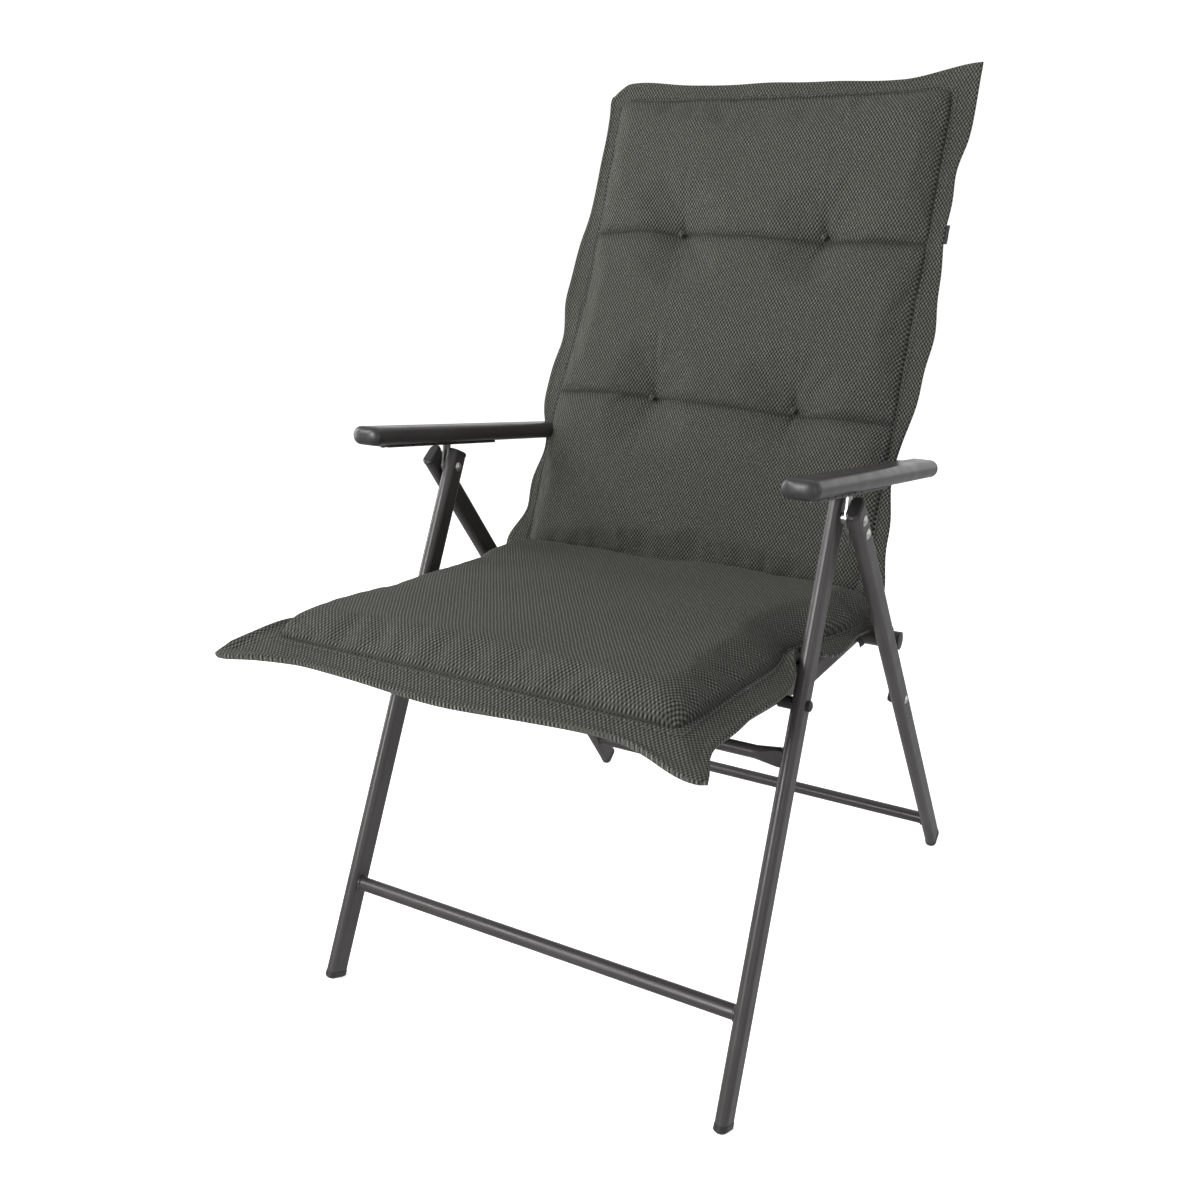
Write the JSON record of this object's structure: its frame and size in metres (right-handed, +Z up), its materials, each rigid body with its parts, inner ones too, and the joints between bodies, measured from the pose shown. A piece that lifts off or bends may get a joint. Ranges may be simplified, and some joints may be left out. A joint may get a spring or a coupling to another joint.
{
  "type": "folding chair",
  "caption": "High-back folding garden armchair: oval-tube legs that scissor shut, reclining back on ratchet armrests, one padded seat and back cushion.",
  "frame": {"origin": "middle of the chair on the floor", "axes": "+X towards the sitter's left, -Y is the way the chair faces, +Z up"},
  "size_m": [0.5788, 0.8464, 1.0765],
  "materials": {
    "frame_paint": "satin anthracite powder coat",
    "plastic_fittings": "satin moulded plastic",
    "zinc_steel": "zinc-plated",
    "cushion_fabric": "coarse two-tone weave",
    "sling_fabric": "open mesh"
  },
  "bodies": {
    "front_frame": {"front_leg_left": "frame_paint", "front_leg_right": "frame_paint", "front_foot_left": "plastic_fittings", "front_foot_right": "plastic_fittings", "front_leg_cap_left": "plastic_fittings", "front_leg_cap_right": "plastic_fittings", "front_stretcher": "frame_paint", "front_crossbar": "frame_paint", "leg_pivot_rivets": "zinc_steel", "leg_spacers": "zinc_steel", "seat_pivot_bolts": "plastic_fittings", "seat_bushes": "plastic_fittings"},
    "rear_frame": {"rear_leg_left": "frame_paint", "rear_leg_right": "frame_paint", "rear_foot_left": "plastic_fittings", "rear_foot_right": "plastic_fittings", "rear_leg_cap_left": "plastic_fittings", "rear_leg_cap_right": "plastic_fittings", "armrest_bracket_left": "zinc_steel", "armrest_bracket_right": "zinc_steel", "rear_stretcher": "frame_paint", "bracket_rivets": "zinc_steel", "link_rivets": "zinc_steel", "armrest_pins": "zinc_steel"},
    "seat": {"seat_side_left": "frame_paint", "seat_side_right": "frame_paint", "seat_front_bar": "frame_paint", "rear_cross_tube": "frame_paint", "cross_tube_caps": "plastic_fittings", "seat_sling": "sling_fabric", "seat_cushion": "cushion_fabric"},
    "links": {"link_left": "frame_paint", "link_right": "frame_paint"},
    "hinge_bushes": {"back_bushes": "plastic_fittings", "cushion_fold": "cushion_fabric"},
    "back": {"back_side_left": "frame_paint", "back_side_right": "frame_paint", "back_hinge_left": "frame_paint", "back_hinge_right": "frame_paint", "back_top_bar": "frame_paint", "back_sling": "sling_fabric", "back_cushion": "cushion_fabric"},
    "arm_bolts": {"armrest_bolts": "zinc_steel"},
    "armrest_left": {"armrest_left": "frame_paint", "armrest_front_cap_left": "plastic_fittings", "armrest_rear_cap_left": "plastic_fittings", "ratchet_rail_left": "plastic_fittings", "rail_screws_left": "zinc_steel"},
    "armrest_right": {"armrest_right": "frame_paint", "armrest_front_cap_right": "plastic_fittings", "armrest_rear_cap_right": "plastic_fittings", "ratchet_rail_right": "plastic_fittings", "rail_screws_right": "zinc_steel"}
  },
  "joints": [
    {"name": "leg_fold", "type": "hinge", "parent": "front_frame", "child": "rear_frame", "pos_m": [0, -0.0525, 0.6], "axis": [-1, 0, 0], "range_deg": [0, 52]},
    {"name": "seat_fold", "type": "hinge", "parent": "front_frame", "child": "seat", "pos_m": [0, -0.13279, 0.414], "axis": [-1, 0, 0], "range_deg": [0, 86], "deforming": ["seat_cushion"]},
    {"name": "link_swing", "type": "hinge", "parent": "seat", "child": "links", "pos_m": [0, 0.1315, 0.4095], "axis": [-1, 0, 0], "range_deg": [0, 110]},
    {"name": "back_fold", "type": "hinge", "parent": "seat", "child": "hinge_bushes", "pos_m": [0, 0.1315, 0.4095], "axis": [-1, 0, 0], "range_deg": [-86, 0], "deforming": ["cushion_fold"]},
    {"name": "recline", "type": "hinge", "parent": "hinge_bushes", "child": "back", "pos_m": [0, 0.1315, 0.4095], "axis": [-1, 0, 0], "range_deg": [0, 34], "deforming": ["back_cushion"]},
    {"name": "armrest_fold", "type": "hinge", "parent": "back", "child": "arm_bolts", "pos_m": [0, 0.21135, 0.60767], "axis": [-1, 0, 0], "range_deg": [0, 88]},
    {"name": "armrest_tilt_left", "type": "hinge", "parent": "arm_bolts", "child": "armrest_left", "pos_m": [0, 0.21135, 0.60767], "axis": [-1, 0, 0], "range_deg": [-26, 0]},
    {"name": "armrest_tilt_right", "type": "hinge", "parent": "arm_bolts", "child": "armrest_right", "pos_m": [0, 0.21135, 0.60767], "axis": [-1, 0, 0], "range_deg": [-26, 0]}
  ],
  "couplings": [
    {"joint": "seat_fold", "follows": "leg_fold", "ratio": 1.6346},
    {"joint": "link_swing", "follows": "leg_fold", "ratio": 2.096},
    {"joint": "back_fold", "follows": "leg_fold", "ratio": -1.6346},
    {"joint": "armrest_fold", "follows": "leg_fold", "ratio": 1.665},
    {"joint": "armrest_tilt_left", "follows": "recline", "ratio": -0.707},
    {"joint": "armrest_tilt_right", "follows": "recline", "ratio": -0.707}
  ]
}
